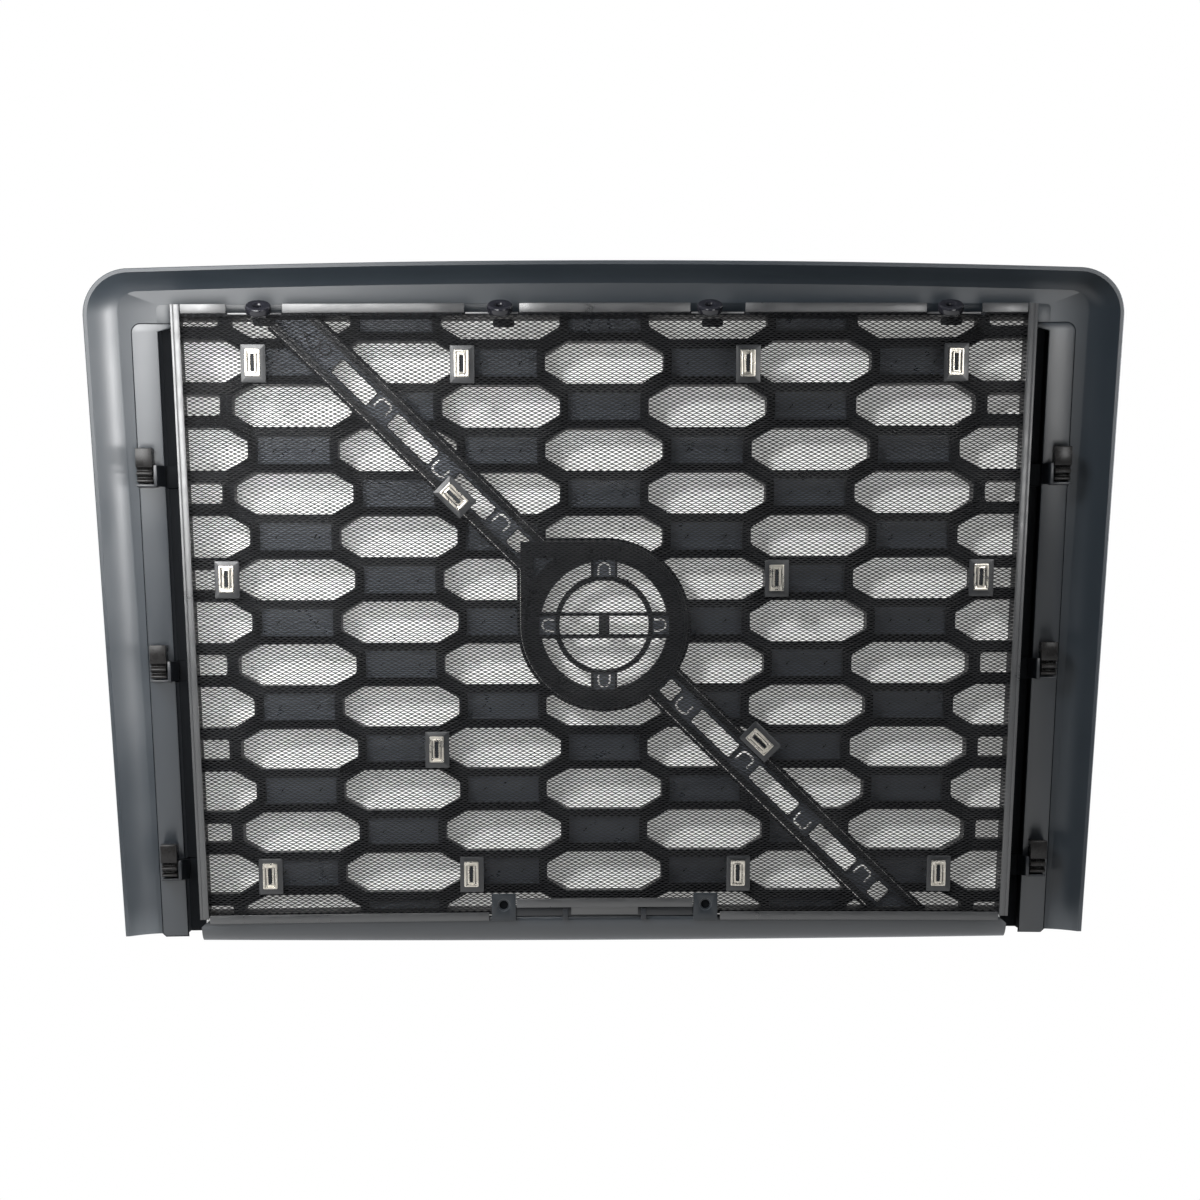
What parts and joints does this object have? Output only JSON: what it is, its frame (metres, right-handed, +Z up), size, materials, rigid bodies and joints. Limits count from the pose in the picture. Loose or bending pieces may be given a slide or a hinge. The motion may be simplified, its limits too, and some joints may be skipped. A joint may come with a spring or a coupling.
{
  "type": "front grille",
  "caption": "Heavy truck front grille with honeycomb insert, bug screen, badge carrier, push nuts and side clips, leaned back and bowed in plan.",
  "frame": {"origin": "centre of the badge seat, on its front face", "axes": "+X to the right as seen from behind the grille, +Y forwards through the grille, +Z up with the grille leaned back as fitted"},
  "size_m": [1.05, 0.2301, 0.709],
  "materials": {
    "shell_black": "satin moulded black",
    "insert_black": "moulded black",
    "screen_black": "black coated expanded metal",
    "strip_grey": "satin dark coated edge strip",
    "pad_grey": "matt dark grey",
    "nickel": "warm bright plated spring steel",
    "clip_black": "dark satin spring steel",
    "boss_black": "glossy black"
  },
  "bodies": {
    "root": {"surround_bezel": "shell_black", "honeycomb_insert": "insert_black", "badge_carrier": "insert_black", "bug_screen": "screen_black", "screen_rail_left": "strip_grey", "screen_rail_right": "strip_grey", "screen_top_flange_1": "strip_grey", "screen_top_flange_2": "strip_grey", "screen_top_flange_3": "strip_grey", "screen_top_flange_4": "strip_grey", "screen_top_flange_5": "strip_grey", "screen_bottom_flange_left": "strip_grey", "screen_bottom_flange_right": "strip_grey", "screen_bottom_flange_middle": "strip_grey", "retainer_pad_01": "pad_grey", "retainer_pad_02": "pad_grey", "retainer_pad_03": "pad_grey", "retainer_pad_04": "pad_grey", "retainer_pad_05": "pad_grey", "retainer_pad_06": "pad_grey", "retainer_pad_07": "pad_grey", "retainer_pad_08": "pad_grey", "retainer_pad_09": "pad_grey", "retainer_pad_10": "pad_grey", "retainer_pad_11": "pad_grey", "retainer_pad_12": "pad_grey", "retainer_pad_13": "pad_grey", "retainer_pad_14": "pad_grey", "push_nut_01": "nickel", "push_nut_02": "nickel", "push_nut_03": "nickel", "push_nut_04": "nickel", "push_nut_05": "nickel", "push_nut_06": "nickel", "push_nut_07": "nickel", "push_nut_08": "nickel", "push_nut_09": "nickel", "push_nut_10": "nickel", "push_nut_11": "nickel", "push_nut_12": "nickel", "push_nut_13": "nickel", "push_nut_14": "nickel", "lower_crossmember": "shell_black", "side_clip_left_upper": "clip_black", "side_clip_left_middle": "clip_black", "side_clip_left_lower": "clip_black", "side_clip_right_upper": "clip_black", "side_clip_right_middle": "clip_black", "side_clip_right_lower": "clip_black", "top_fixing_boss_1": "boss_black", "top_fixing_boss_2": "boss_black", "top_fixing_boss_3": "boss_black", "top_fixing_boss_4": "boss_black"}
  },
  "joints": []
}
